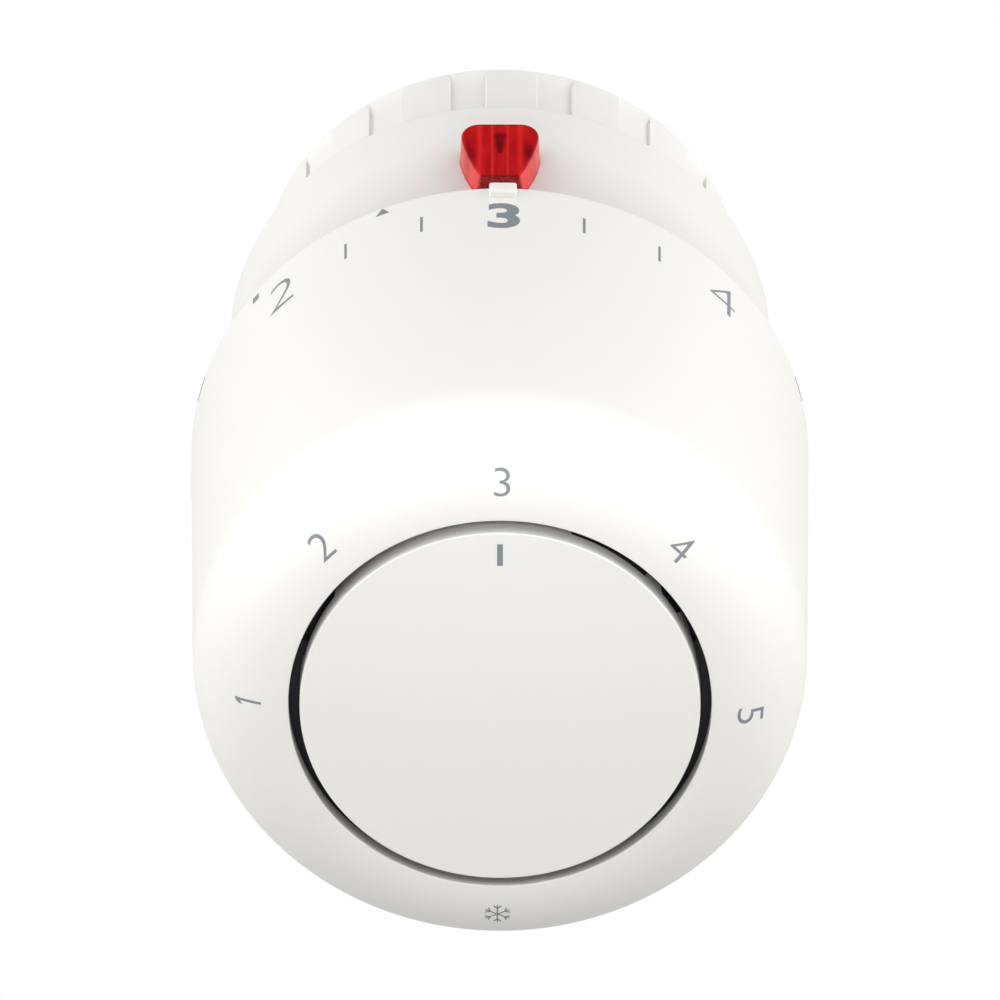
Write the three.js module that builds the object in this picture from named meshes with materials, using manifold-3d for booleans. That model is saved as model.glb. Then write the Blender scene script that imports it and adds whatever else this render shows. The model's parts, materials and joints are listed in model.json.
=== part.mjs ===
// Thermostatic radiator valve head, built as the assembly it is taken apart into.
// Millimetres, +Z up. The head lies along Y: its front faces -Y and its union nut opens towards +Y.
// Inside the assembly y = 0 is the plane where the neck of the valve body meets the base. The finished
// head is moved so that its origin is the centre of the thrust cap's end, where it meets the spindle.
// Clock angles are in degrees from +Z, clockwise as seen from the front.
import * as THREE from "three";
import { mergeVertices } from "three/addons/utils/BufferGeometryUtils.js";
import Module from "manifold-3d";

const wasm = await Module();
wasm.setup();

// ---- Driving dimensions ----
const GAP = 0.3; // running and assembly clearance between neighbouring pieces
const FINE = 48; // facets round the large shells
const MEDIUM = 36; // facets round the sensor and its carrier
const COARSE = 24; // facets round the small turned pieces

const SLEEVE = { radius: 27.4, frontRadius: 27.3, rearY: -22.4, wall: 2, chamfer: 0.4 };
const NOSE = { frontY: -66, length: 9, power: 1.8, mouthRadius: 18.8, lipDepth: 2.1 };
const THREAD = { lead: 6, starts: 3, ribWidth: 0.8, innerRadius: 23.6, tabY: -39.5 };
const DIAL = { turnDown: 180, turnUp: 90 }; // degrees from the middle setting to each end stop
const TAB = { width: 5, thickness: 0.8, outerRadius: 24.8 };
const TACTILE = { width: 2.4, length: 1.3, height: 0.7 };

const COLLAR = { rearRadius: 23.8, frontRadius: 24.9, rearY: -2.2, frontY: -27 };
const NECK = { radius: 14.4, chamfer: 0.8, boreRadius: 9, boreDepth: 5 };
const CAGE = { inner: 21.3, outer: 23.2, rearY: -20.6, shoulderRadius: 24.7, crownY: -54.5 };
const CROWN = { inner: 16.5, outer: 19.6, rearY: -61.5, frontY: -62.9 };
const DISC = { radius: 18, faceY: -66.4, skirtY: -63.7, edge: 0.4 };
const RING = { radius: 21.1, rearY: 9, frontY: -3.9, recesses: 17, recessWidth: 3.16, recessDepth: 0.5 };
const RING_FIRST_RECESS = -7.8; // clock angle of the recess nearest to the top
const NUT = { acrossFlats: 33, threadRadius: 14.2, reliefRadius: 15.6, lipRadius: 14.75 };

const CARRIER = { inner: 19.3, outer: 20.8, rearY: -31.8, frontY: -52.2, lipRadius: 17.4 };
const CAPSULE = { radius: 16.2, wall: 0.6, frontY: -56, rearY: -33.4, flangeRadius: 18.9 };
const BELLOWS = { crest: 12.4, root: 9.8, sheet: 0.8, folds: 6, rearY: -34.9, frontY: -51.2 };
const PIN = { radius: 2.5, capRadius: 5, capRearY: -12.5, capFrontY: -19, frontY: -51.2 };
const BUSH = { inner: 5.25, outer: 6, rearY: -5.4, frontY: -19.2 };

const INDICATOR = {
  width: 7.2,
  tipWidth: 4.6,
  rearY: -9.6,
  frontY: -19.6,
  top: 26.5,
  foot: 23.2,
  bevel: 0.5,
};

// The inward flange that turns between the cage shoulder and the dial retaining ring.
const FLANGE = { inner: 23.6, rearY: -30, frontY: -31.2 };
// End stops: a lug behind the flange meets a lug on the cage at both ends of the dial's turn.
const STOP = { cageCentre: 180, cageWidth: 58, dialWidth: 30, rearY: -28.4 };
// Two small pins that limit the setting range, parked in the floor of the base.
const LIMITER = { angles: [150, 210], radius: 0.9, circle: 18, rearY: -4.6, frontY: -11 };
const FRICTION = { y: -45, section: 2.2 };
const RETAINER = { inner: 17, rearY: -49.7, frontY: -50.9 };
const SNAP_GROOVE = { depth: 0.7, rearY: -31.5, frontY: -33 };
const FLOOR = { rearY: RING.frontY - 0.4, frontY: -8 };

// ---- Materials ----
function plastic(color, roughness) {
  return new THREE.MeshStandardMaterial({ color, roughness, metalness: 0 });
}

function metal(color, roughness) {
  return new THREE.MeshStandardMaterial({ color, roughness, metalness: 1 });
}

const finish = {
  shell: plastic(0xf1f0ec, 0.45),
  indicator: plastic(0xc41414, 0.15),
  cage: plastic(0x141414, 0.55),
  slider: plastic(0xc9c8c2, 0.5),
  thrust: plastic(0x3c3a37, 0.5),
  rubber: plastic(0x1b1b1b, 0.85),
  nickel: metal(0xc8c5bd, 0.3),
  steel: metal(0x9da1a5, 0.35),
  aluminium: metal(0xb9bcbf, 0.4),
  bronze: metal(0xb58a4a, 0.35),
  copper: metal(0xb8734a, 0.35),
};

// ---- Geometry helpers ----
function onCircle(radius, clockAngle, y) {
  const a = THREE.MathUtils.degToRad(clockAngle);
  return new THREE.Vector3(radius * Math.sin(a), y, radius * Math.cos(a));
}

function signedArea(outline) {
  return outline.reduce((sum, [x, y], i) => {
    const [nextX, nextY] = outline[(i + 1) % outline.length];
    return sum + (x * nextY - nextX * y) / 2;
  }, 0);
}

// A solid of revolution about Y from [radius, y] points; an outline clear of the axis closes on itself.
function revolve(outline, facets = COARSE) {
  const ordered = signedArea(outline) > 0 ? outline : [...outline].reverse();
  const onAxis = ordered[0][0] === 0;
  const points = (onAxis ? ordered : [...ordered, ordered[0]]).map(([r, y]) => new THREE.Vector2(r, y));
  return new THREE.LatheGeometry(points, facets);
}

// A flat outline in X and Z, extruded along Y.
function prism(shape, fromY, toY, curveSegments = 12) {
  const settings = { depth: toY - fromY, bevelEnabled: false, curveSegments };
  const geometry = new THREE.ExtrudeGeometry(shape, settings);
  return geometry.rotateX(-Math.PI / 2).translate(0, fromY, 0);
}

// A block bent round the axis between two clock angles; lead moves it forward by that much per full turn.
function curvedBlock({ from, to, inner, outer, rearY, frontY, lead = 0, degreesPerStep = 10 }) {
  const steps = Math.max(1, Math.ceil((to - from) / degreesPerStep));
  const block = new THREE.BoxGeometry(1, 1, 1, steps, 1, 1);
  const position = block.getAttribute("position");
  for (let i = 0; i < position.count; i++) {
    const angle = from + (to - from) * (position.getX(i) + 0.5);
    const y = frontY + (rearY - frontY) * (position.getY(i) + 0.5) - (lead * angle) / 360;
    const radius = inner + (outer - inner) * (position.getZ(i) + 0.5);
    const point = onCircle(radius, angle, y);
    position.setXYZ(i, point.x, point.y, point.z);
  }
  return block;
}

class Helix extends THREE.Curve {
  constructor(radius, startY, endY, turns) {
    super();
    Object.assign(this, { radius, startY, endY, turns });
  }

  getPoint(t, target = new THREE.Vector3()) {
    const y = this.startY + (this.endY - this.startY) * t;
    return target.copy(onCircle(this.radius, 360 * this.turns * t, y));
  }
}

function coilSpring({ coilRadius, wireRadius, rearY, frontY, turns, stepsPerTurn }) {
  const wire = new THREE.Shape().absarc(0, 0, wireRadius, 0, 2 * Math.PI);
  const path = new Helix(coilRadius, rearY - wireRadius, frontY + wireRadius, turns);
  const steps = Math.round(turns * stepsPerTurn);
  return new THREE.ExtrudeGeometry(wire, { steps, extrudePath: path, curveSegments: 3 });
}

function toSolid(geometry) {
  const bare = geometry.clone();
  bare.deleteAttribute("normal");
  bare.deleteAttribute("uv");
  const merged = mergeVertices(bare, 1e-4);
  return new wasm.Manifold(
    new wasm.Mesh({
      numProp: 3,
      vertProperties: merged.attributes.position.array,
      triVerts: new Uint32Array(merged.index.array),
    }),
  );
}

function toGeometry(solid) {
  const { vertProperties, triVerts } = solid.getMesh();
  const geometry = new THREE.BufferGeometry();
  geometry.setAttribute("position", new THREE.BufferAttribute(vertProperties, 3));
  geometry.setIndex(new THREE.BufferAttribute(triVerts, 1));
  geometry.computeVertexNormals();
  return geometry;
}

function combine(base, added, removed = []) {
  const joined = added.reduce((solid, geometry) => solid.add(toSolid(geometry)), toSolid(base));
  return toGeometry(removed.reduce((solid, geometry) => solid.subtract(toSolid(geometry)), joined));
}

function repeat(count, make) {
  return Array.from({ length: count }, (_, i) => make(i, (360 * i) / count));
}

function piece(name, geometry, material) {
  const mesh = new THREE.Mesh(geometry, material);
  mesh.name = name;
  return mesh;
}

// ---- Dial ----
// The rounded front of the sleeve: a superellipse from the full radius in to the mouth.
function nose(fullRadius, mouthRadius, frontY, length, steps) {
  return Array.from({ length: steps + 1 }, (_, i) => {
    const t = (Math.PI / 2) * (i / steps);
    const radius = mouthRadius + (fullRadius - mouthRadius) * Math.cos(t) ** (2 / NOSE.power);
    const y = frontY + length * (1 - Math.sin(t) ** (2 / NOSE.power));
    return [radius, y];
  });
}

function sleeveOutline() {
  const { radius, frontRadius, rearY, wall, chamfer } = SLEEVE;
  const bore = radius - wall;
  const outerNose = nose(frontRadius, NOSE.mouthRadius + 0.3, NOSE.frontY, NOSE.length, 7);
  const lipEndY = NOSE.frontY + NOSE.lipDepth;
  const innerNose = nose(bore, NOSE.mouthRadius + 0.6, lipEndY, NOSE.length - NOSE.lipDepth, 3);
  return [
    [bore, rearY],
    [radius - chamfer, rearY],
    [radius, rearY - chamfer],
    ...outerNose,
    [NOSE.mouthRadius, NOSE.frontY + 0.3],
    [NOSE.mouthRadius, lipEndY],
    ...innerNose.reverse(),
    [bore, FLANGE.frontY],
    [FLANGE.inner, FLANGE.frontY],
    [FLANGE.inner, FLANGE.rearY],
    [bore, FLANGE.rearY],
  ];
}

function threadRibs() {
  const pitch = THREAD.lead / THREAD.starts;
  const overrun = 7;
  const between = 360 / THREAD.starts;
  return repeat(THREAD.starts, (i, angle) => {
    const rib = curvedBlock({
      from: -DIAL.turnDown - between - overrun,
      to: DIAL.turnUp + overrun,
      inner: THREAD.innerRadius,
      outer: SLEEVE.radius - 1.2,
      rearY: THREAD.tabY - pitch / 2 + THREAD.ribWidth / 2,
      frontY: THREAD.tabY - pitch / 2 - THREAD.ribWidth / 2,
      lead: THREAD.lead,
      degreesPerStep: 15,
    });
    return rib.rotateY(THREE.MathUtils.degToRad(angle));
  });
}

function tactileTab() {
  const { width, length, height } = TACTILE;
  const foot = 1;
  const block = new THREE.BoxGeometry(width, length, height + foot);
  return block.translate(0, SLEEVE.rearY - 0.1 - length / 2, SLEEVE.radius + (height - foot) / 2);
}

function dialStopLug() {
  const centre = STOP.cageCentre - (DIAL.turnDown + (STOP.cageWidth + STOP.dialWidth) / 2 + 1);
  return curvedBlock({
    from: centre - STOP.dialWidth / 2,
    to: centre + STOP.dialWidth / 2,
    inner: FLANGE.inner,
    outer: SLEEVE.radius - 1.2,
    rearY: STOP.rearY,
    frontY: FLANGE.rearY - 0.5,
  });
}

function dialSleeve() {
  const shell = revolve(sleeveOutline(), FINE);
  return combine(shell, [...threadRibs(), tactileTab(), dialStopLug()]);
}

// ---- Base ----
// Seen from above: a broad rear end with rounded corners, narrowing in a curve towards the dial.
function indicatorOutline(grow) {
  const half = INDICATOR.width / 2 + grow;
  const tip = INDICATOR.tipWidth / 2 + grow;
  const rearY = INDICATOR.rearY + grow;
  const frontY = INDICATOR.frontY - grow;
  const cornerWidth = 1.4;
  const cornerLength = 2.6;
  const shape = new THREE.Shape();
  shape.moveTo(-tip, frontY);
  shape.lineTo(tip, frontY);
  shape.bezierCurveTo(tip + 0.6, frontY + 1.6, half, frontY + 3.4, half, rearY - cornerLength - 1);
  shape.quadraticCurveTo(half, rearY, half - cornerWidth, rearY);
  shape.lineTo(-half + cornerWidth, rearY);
  shape.quadraticCurveTo(-half, rearY, -half, rearY - cornerLength - 1);
  shape.bezierCurveTo(-half, frontY + 3.4, -tip - 0.6, frontY + 1.6, -tip, frontY);
  return shape;
}

// An outline in X and Y raised along Z, for pieces let into the top of the collar.
function raised(shape, fromZ, toZ, bevel = 0) {
  const geometry = new THREE.ExtrudeGeometry(shape, {
    depth: toZ - fromZ - 2 * bevel,
    bevelEnabled: bevel > 0,
    bevelThickness: bevel,
    bevelSize: bevel,
    bevelOffset: -bevel,
    bevelSegments: 1,
    curveSegments: 5,
  });
  return geometry.translate(0, 0, fromZ + bevel);
}

function baseCollar() {
  const { rearRadius, frontRadius, rearY, frontY } = COLLAR;
  const outline = [
    [RING.radius + 0.6, rearY],
    [rearRadius - 0.5, rearY],
    [rearRadius, rearY - 0.5],
    [frontRadius, SLEEVE.rearY],
    [frontRadius, frontY],
    [CAGE.outer + GAP, frontY],
    [CAGE.outer + GAP, CAGE.rearY + GAP],
    [CAGE.inner + 0.6, CAGE.rearY + GAP],
    [CAGE.inner + 0.6, FLOOR.frontY],
    [BUSH.outer + GAP + 1.5, FLOOR.frontY],
    [BUSH.outer + GAP + 1.5, BUSH.frontY - GAP],
    [BUSH.outer + GAP, BUSH.frontY - GAP],
    [BUSH.outer + GAP, -NECK.boreDepth],
    [NECK.boreRadius, -NECK.boreDepth],
    [NECK.boreRadius, 0],
    [NECK.radius - NECK.chamfer, 0],
    [NECK.radius, -NECK.chamfer],
    [NECK.radius, -1],
    [NECK.radius - 0.9, -1],
    [NECK.radius - 0.9, -2.4],
    [NECK.radius, -2.4],
    [NECK.radius, FLOOR.rearY],
    [RING.radius + 0.6, FLOOR.rearY],
  ];
  const pocket = raised(indicatorOutline(GAP), INDICATOR.foot - GAP, SLEEVE.radius + 1);
  const pinHoles = LIMITER.angles.map((angle) =>
    limiterShape(angle, GAP, FLOOR.frontY - 1, FLOOR.rearY + 1),
  );
  return combine(revolve(outline, FINE), [], [pocket, ...pinHoles]);
}

function limiterShape(angle, grow, frontY, rearY) {
  const centre = onCircle(LIMITER.circle, angle, (frontY + rearY) / 2);
  const pin = new THREE.CylinderGeometry(LIMITER.radius + grow, LIMITER.radius + grow, rearY - frontY, 12);
  return pin.translate(centre.x, centre.y, centre.z);
}

function limiterPin(index) {
  return limiterShape(LIMITER.angles[index], 0, LIMITER.frontY, LIMITER.rearY);
}

function groove(radius, rearY, frontY) {
  const floor = radius - SNAP_GROOVE.depth;
  return [
    [radius, rearY],
    [floor, rearY],
    [floor, frontY],
    [radius, frontY],
  ];
}

function sensorCage() {
  const { inner, outer, rearY, shoulderRadius, crownY } = CAGE;
  const frictionHalf = FRICTION.section / 2 + GAP;
  const outline = [
    [inner, rearY],
    [outer, rearY],
    [outer, COLLAR.frontY - GAP],
    [shoulderRadius, COLLAR.frontY - GAP],
    [shoulderRadius, COLLAR.frontY - 1],
    [outer, COLLAR.frontY - 1],
    ...groove(outer, SNAP_GROOVE.rearY, SNAP_GROOVE.frontY),
    ...groove(outer, FRICTION.y + frictionHalf, FRICTION.y - frictionHalf),
    [outer, crownY],
    [CROWN.outer, CROWN.rearY],
    [CROWN.outer, CROWN.frontY],
    [CROWN.inner, CROWN.frontY],
    [CROWN.inner, CROWN.rearY],
    [inner, crownY],
  ];
  const stop = curvedBlock({
    from: STOP.cageCentre - STOP.cageWidth / 2,
    to: STOP.cageCentre + STOP.cageWidth / 2,
    inner: inner + 0.8,
    outer: shoulderRadius - 0.2,
    rearY: COLLAR.frontY - 0.6,
    frontY: FLANGE.rearY + 0.2,
  });
  return combine(revolve(outline, FINE), [stop], [...tabSlots(), ...airWindows()]);
}

function tabSlots() {
  const travelUp = (THREAD.lead * DIAL.turnUp) / 360;
  const travelDown = (THREAD.lead * DIAL.turnDown) / 360;
  const halfAngle = THREE.MathUtils.radToDeg((TAB.width / 2 + 0.5) / CAGE.inner);
  return repeat(THREAD.starts, (i, angle) =>
    curvedBlock({
      from: angle - halfAngle,
      to: angle + halfAngle,
      inner: CAGE.inner - 1,
      outer: CAGE.outer + 1,
      rearY: THREAD.tabY + TAB.thickness / 2 + travelDown + 0.4,
      frontY: THREAD.tabY - TAB.thickness / 2 - travelUp - 0.4,
    }),
  );
}

// Openings through the front of the cage that let room air reach the sensor.
function airWindows() {
  return repeat(6, (i, angle) =>
    curvedBlock({
      from: angle + 10,
      to: angle + 50,
      inner: CROWN.inner - 1,
      outer: CAGE.outer + 1,
      rearY: -49,
      frontY: CROWN.rearY - 0.3,
    }),
  );
}

function frictionRing() {
  const centre = SLEEVE.radius - SLEEVE.wall - GAP - FRICTION.section / 2;
  const outline = Array.from({ length: 6 }, (_, i) => {
    const a = (Math.PI / 3) * i;
    return [centre + (FRICTION.section / 2) * Math.cos(a), FRICTION.y + (FRICTION.section / 2) * Math.sin(a)];
  });
  return revolve(outline, MEDIUM);
}

// An open ring of square wire between two radii, with a gap at the bottom.
function openRing(inner, outer, rearY, frontY, opening) {
  return curvedBlock({ from: opening / 2 - 180, to: 180 - opening / 2, inner, outer, rearY, frontY });
}

function dialRetainingRing() {
  const { rearY, frontY, depth } = SNAP_GROOVE;
  const inner = CAGE.outer - depth + GAP;
  return openRing(inner, CAGE.shoulderRadius, rearY - 0.2, frontY + 0.2, 30);
}

function nutRetainingRing() {
  return openRing(NECK.radius - 0.6, NUT.reliefRadius - GAP, -1.2, -2.2, 24);
}

function frontDisc() {
  const { radius, faceY, skirtY, edge } = DISC;
  const outline = [
    [0, faceY],
    [radius - edge, faceY],
    [radius, faceY + edge],
    [radius, skirtY],
    [radius - 1.2, skirtY],
    [radius - 1.2, faceY + 1.4],
    [0, faceY + 1.4],
  ];
  const hooks = repeat(3, (i, angle) => discHook(angle + 30)).flat();
  return combine(revolve(outline, FINE), hooks);
}

// A spring arm with a barb that catches behind the crown of the cage.
function discHook(angle) {
  const reach = { from: angle - 6, to: angle + 6 };
  const arm = { ...reach, inner: 14.9, outer: 16.1, rearY: -60.5, frontY: DISC.faceY + 1 };
  const barb = { ...reach, inner: 15.5, outer: 17.2, rearY: -60.5, frontY: CROWN.rearY + 0.1 };
  return [curvedBlock(arm), curvedBlock(barb)];
}

function pinGuideBush() {
  return revolve([
    [BUSH.inner, BUSH.frontY],
    [BUSH.outer, BUSH.frontY],
    [BUSH.outer, BUSH.rearY],
    [BUSH.inner, BUSH.rearY],
  ]);
}

// ---- Union nut ----
function hexagon(acrossFlats) {
  const corner = acrossFlats / 2 / Math.cos(Math.PI / 6);
  const points = Array.from({ length: 6 }, (_, i) => {
    const a = (Math.PI / 3) * i;
    return new THREE.Vector2(corner * Math.cos(a), corner * Math.sin(a));
  });
  return new THREE.Shape(points);
}

function unionNut() {
  const rearY = RING.rearY - 0.6;
  const frontY = RING.frontY + GAP;
  const bore = [
    [0, frontY - 1],
    [NUT.lipRadius, frontY - 1],
    [NUT.lipRadius, frontY + 1],
    [NUT.reliefRadius, frontY + 1],
    [NUT.reliefRadius, 0.6],
    [NUT.threadRadius, 0.9],
    [NUT.threadRadius, rearY - 0.8],
    [NUT.threadRadius + 1.3, rearY + 0.5],
    [0, rearY + 0.5],
  ];
  return combine(prism(hexagon(NUT.acrossFlats), frontY, rearY), [], [revolve(bore, MEDIUM)]);
}

function knurledRing() {
  const { radius, rearY, frontY, recesses, recessWidth, recessDepth } = RING;
  const outline = [
    [NUT.lipRadius + 0.6, frontY],
    [radius, frontY],
    [radius, rearY - 0.4],
    [radius - 0.4, rearY],
    [NUT.lipRadius + 0.6, rearY],
  ];
  const cuts = repeat(recesses, (i, angle) => {
    const length = rearY - 0.7 - frontY + 1;
    const cutter = new THREE.BoxGeometry(recessWidth, length, 2);
    cutter.translate(0, frontY - 1 + length / 2, radius - recessDepth + 1);
    return cutter.rotateY(THREE.MathUtils.degToRad(angle + RING_FIRST_RECESS));
  });
  const socket = prism(hexagon(NUT.acrossFlats + 2 * GAP), frontY - 1, rearY + 1);
  return combine(revolve(outline, 4 * recesses), [], [...cuts, socket]);
}

// ---- Setting carrier ----
function settingCarrier() {
  const { inner, outer, rearY, frontY, lipRadius } = CARRIER;
  const lipFrontY = CAPSULE.rearY + GAP;
  const outline = [
    [lipRadius, rearY],
    [outer, rearY],
    [outer, frontY],
    [inner, frontY],
    [inner, lipFrontY],
    [lipRadius, lipFrontY],
  ];
  const halfAngle = THREE.MathUtils.radToDeg(TAB.width / 2 / TAB.outerRadius);
  const tabs = repeat(THREAD.starts, (i, angle) =>
    curvedBlock({
      from: angle - halfAngle,
      to: angle + halfAngle,
      inner: inner + 0.5,
      outer: TAB.outerRadius,
      rearY: THREAD.tabY + TAB.thickness / 2,
      frontY: THREAD.tabY - TAB.thickness / 2,
    }),
  );
  const windows = retainerLugs(GAP + 1, GAP);
  return combine(revolve(outline, MEDIUM), tabs, windows);
}

function retainerLugs(reach, grow) {
  return repeat(3, (i, angle) =>
    curvedBlock({
      from: angle + 60 - 7 - 2 * grow,
      to: angle + 60 + 7 + 2 * grow,
      inner: CARRIER.inner - GAP - 1,
      outer: CARRIER.outer - GAP + reach,
      rearY: RETAINER.rearY + grow,
      frontY: RETAINER.frontY - grow,
    }),
  );
}

function springRetainer() {
  const outline = [
    [RETAINER.inner, RETAINER.frontY],
    [CARRIER.inner - GAP, RETAINER.frontY],
    [CARRIER.inner - GAP, RETAINER.rearY],
    [RETAINER.inner, RETAINER.rearY],
  ];
  return combine(revolve(outline, MEDIUM), retainerLugs(0, 0));
}

// ---- Sensor ----
function sensorCapsule() {
  const { radius, wall, frontY, rearY, flangeRadius } = CAPSULE;
  const tubeHole = 1.3;
  return revolve(
    [
      [tubeHole, frontY],
      [radius - 1, frontY],
      [radius, frontY + 1],
      [radius, rearY - 1.2],
      [flangeRadius, rearY - 1.2],
      [flangeRadius, rearY],
      [radius - wall, rearY],
      [radius - wall, frontY + 1.2],
      [radius - 1.2, frontY + wall],
      [tubeHole, frontY + wall],
    ],
    MEDIUM,
  );
}

function capsuleEndPlate() {
  const frontY = BELLOWS.rearY + GAP;
  const rearY = CAPSULE.rearY - GAP;
  return revolve([
    [PIN.radius + 0.6, frontY],
    [CAPSULE.radius - CAPSULE.wall - GAP, frontY],
    [CAPSULE.radius - CAPSULE.wall - GAP, rearY],
    [PIN.radius + 2.5, rearY],
    [PIN.radius + 2.5, rearY + 2],
    [PIN.radius + 0.6, rearY + 2],
  ]);
}

function chargeTube() {
  return revolve(
    [
      [0, CAPSULE.frontY - 2.4],
      [0.5, CAPSULE.frontY - 2.4],
      [1, CAPSULE.frontY - 1.4],
      [1, CAPSULE.frontY + 1.2],
      [0, CAPSULE.frontY + 1.2],
    ],
    12,
  );
}

function bellows() {
  const { crest, root, sheet, folds, rearY, frontY } = BELLOWS;
  const pitch = (rearY - frontY) / folds;
  const wave = [];
  for (let i = 0; i < folds; i++) {
    wave.push([root, frontY + pitch * i]);
    wave.push([crest, frontY + pitch * (i + 0.5)]);
  }
  wave.push([root, rearY]);
  const inside = wave.map(([r, y]) => [r - sheet, y]).reverse();
  return revolve([...wave, ...inside], COARSE);
}

function bellowsPlate() {
  const rearY = BELLOWS.frontY - GAP;
  const frontY = rearY - 1.1;
  return revolve([
    [0, frontY],
    [BELLOWS.crest - 0.5, frontY],
    [BELLOWS.crest - 0.5, rearY],
    [PIN.radius + 2, rearY],
    [PIN.radius + 2, rearY + 1.5],
    [PIN.radius + GAP, rearY + 1.5],
    [PIN.radius + GAP, rearY],
    [0, rearY],
  ]);
}

function pushPin() {
  const rearY = PIN.capFrontY + 2;
  return revolve(
    [
      [0, PIN.frontY],
      [PIN.radius - 0.5, PIN.frontY],
      [PIN.radius, PIN.frontY + 0.5],
      [PIN.radius, rearY],
      [0, rearY],
    ],
    16,
  );
}

function thrustCap() {
  return revolve([
    [0, PIN.capFrontY + 2 + GAP],
    [PIN.radius + GAP, PIN.capFrontY + 2 + GAP],
    [PIN.radius + GAP, PIN.capFrontY],
    [PIN.capRadius, PIN.capFrontY],
    [PIN.capRadius, PIN.capRearY - 0.6],
    [PIN.capRadius - 0.6, PIN.capRearY],
    [0, PIN.capRearY],
  ]);
}

// ---- Assembly ----
function baseGroup() {
  return new THREE.Group().add(
    piece("base_collar", baseCollar(), finish.shell),
    piece(
      "red_indicator",
      raised(indicatorOutline(0), INDICATOR.foot, INDICATOR.top, INDICATOR.bevel),
      finish.indicator,
    ),
    piece("sensor_cage", sensorCage(), finish.cage),
    piece("front_disc", frontDisc(), finish.shell),
    piece("dial_retaining_ring", dialRetainingRing(), finish.steel),
    piece("friction_ring", frictionRing(), finish.rubber),
    piece("pin_guide_bush", pinGuideBush(), finish.bronze),
    piece("limiter_pin_low", limiterPin(0), finish.steel),
    piece("limiter_pin_high", limiterPin(1), finish.steel),
    piece("nut_retaining_ring", nutRetainingRing(), finish.steel),
  );
}

function nutGroup() {
  return new THREE.Group().add(
    piece("knurled_ring", knurledRing(), finish.shell),
    piece("union_nut", unionNut(), finish.nickel),
  );
}

function carrierGroup() {
  const spring = {
    coilRadius: (CAPSULE.radius + CARRIER.inner) / 2,
    wireRadius: 0.8,
    rearY: CAPSULE.rearY - 1.2 - GAP,
    frontY: RETAINER.rearY + GAP,
    turns: 4.5,
    stepsPerTurn: 14,
  };
  return new THREE.Group().add(
    piece("setting_carrier", settingCarrier(), finish.slider),
    piece("spring_retainer", springRetainer(), finish.steel),
    piece("overtravel_spring", coilSpring(spring), finish.steel),
  );
}

function sensorGroup() {
  const spring = {
    coilRadius: 6.2,
    wireRadius: 0.55,
    rearY: BELLOWS.rearY,
    frontY: BELLOWS.frontY,
    turns: 6,
    stepsPerTurn: 11,
  };
  return new THREE.Group().add(
    piece("sensor_capsule", sensorCapsule(), finish.aluminium),
    piece("capsule_end_plate", capsuleEndPlate(), finish.steel),
    piece("charge_tube", chargeTube(), finish.copper),
    piece("bellows", bellows(), finish.bronze),
    piece("return_spring", coilSpring(spring), finish.steel),
  );
}

function pinGroup() {
  return new THREE.Group().add(
    piece("bellows_plate", bellowsPlate(), finish.bronze),
    piece("push_pin", pushPin(), finish.steel),
    piece("thrust_cap", thrustCap(), finish.thrust),
  );
}

const dialGroup = new THREE.Group().add(piece("dial_sleeve", dialSleeve(), finish.shell));

const head = new THREE.Group();
head.name = "thermostatic_valve_head";
head.add(baseGroup(), dialGroup, nutGroup(), carrierGroup(), sensorGroup(), pinGroup());
head.position.y = -PIN.capRearY;

export default head;
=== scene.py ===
import json
import math

import bmesh
import bpy
from mathutils import Matrix, Vector


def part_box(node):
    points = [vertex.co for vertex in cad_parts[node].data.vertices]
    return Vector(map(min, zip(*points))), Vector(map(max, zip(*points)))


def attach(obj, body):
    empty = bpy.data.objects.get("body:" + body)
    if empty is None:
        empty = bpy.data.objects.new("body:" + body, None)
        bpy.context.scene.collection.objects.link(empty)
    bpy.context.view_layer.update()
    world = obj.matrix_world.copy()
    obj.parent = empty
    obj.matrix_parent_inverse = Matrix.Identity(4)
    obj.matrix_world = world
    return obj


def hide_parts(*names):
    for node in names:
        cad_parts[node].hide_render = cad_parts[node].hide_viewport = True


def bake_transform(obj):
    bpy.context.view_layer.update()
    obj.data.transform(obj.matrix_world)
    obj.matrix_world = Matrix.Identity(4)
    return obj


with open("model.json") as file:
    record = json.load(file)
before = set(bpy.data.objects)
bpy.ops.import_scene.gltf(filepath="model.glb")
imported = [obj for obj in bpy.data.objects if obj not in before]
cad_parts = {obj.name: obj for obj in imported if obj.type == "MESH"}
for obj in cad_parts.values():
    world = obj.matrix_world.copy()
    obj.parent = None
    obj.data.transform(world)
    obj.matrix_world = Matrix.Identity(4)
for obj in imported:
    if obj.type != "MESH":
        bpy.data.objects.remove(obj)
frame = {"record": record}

MM = 0.001
SEGMENTS = 192  # round the large mouldings
SMALL_SEGMENTS = 96  # round the turned pieces inside
SAME_POINT = 1e-7  # metres; points nearer than this are merged
FLAT_FACE = 1e-8  # metres; faces flatter than this are dropped as a mesh is made
SLIVER = 1e-7  # metres; faces flatter than this are dropped from a finished piece
SHARP_ANGLE = math.radians(40)
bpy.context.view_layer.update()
SLOTS = {part["node"]: part["material_slot"] for part in frame["record"]["subparts"]}
BODIES = {
    node: body
    for body, nodes in frame["record"]["behaviour"]["bodies"].items()
    for node in nodes
}


# ---- Places taken from the frame ----
def span(node):
    """Front y, rear y and largest x of a CAD node, in millimetres."""
    low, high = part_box(node)
    return low.y / MM, high.y / MM, high.x / MM


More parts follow.
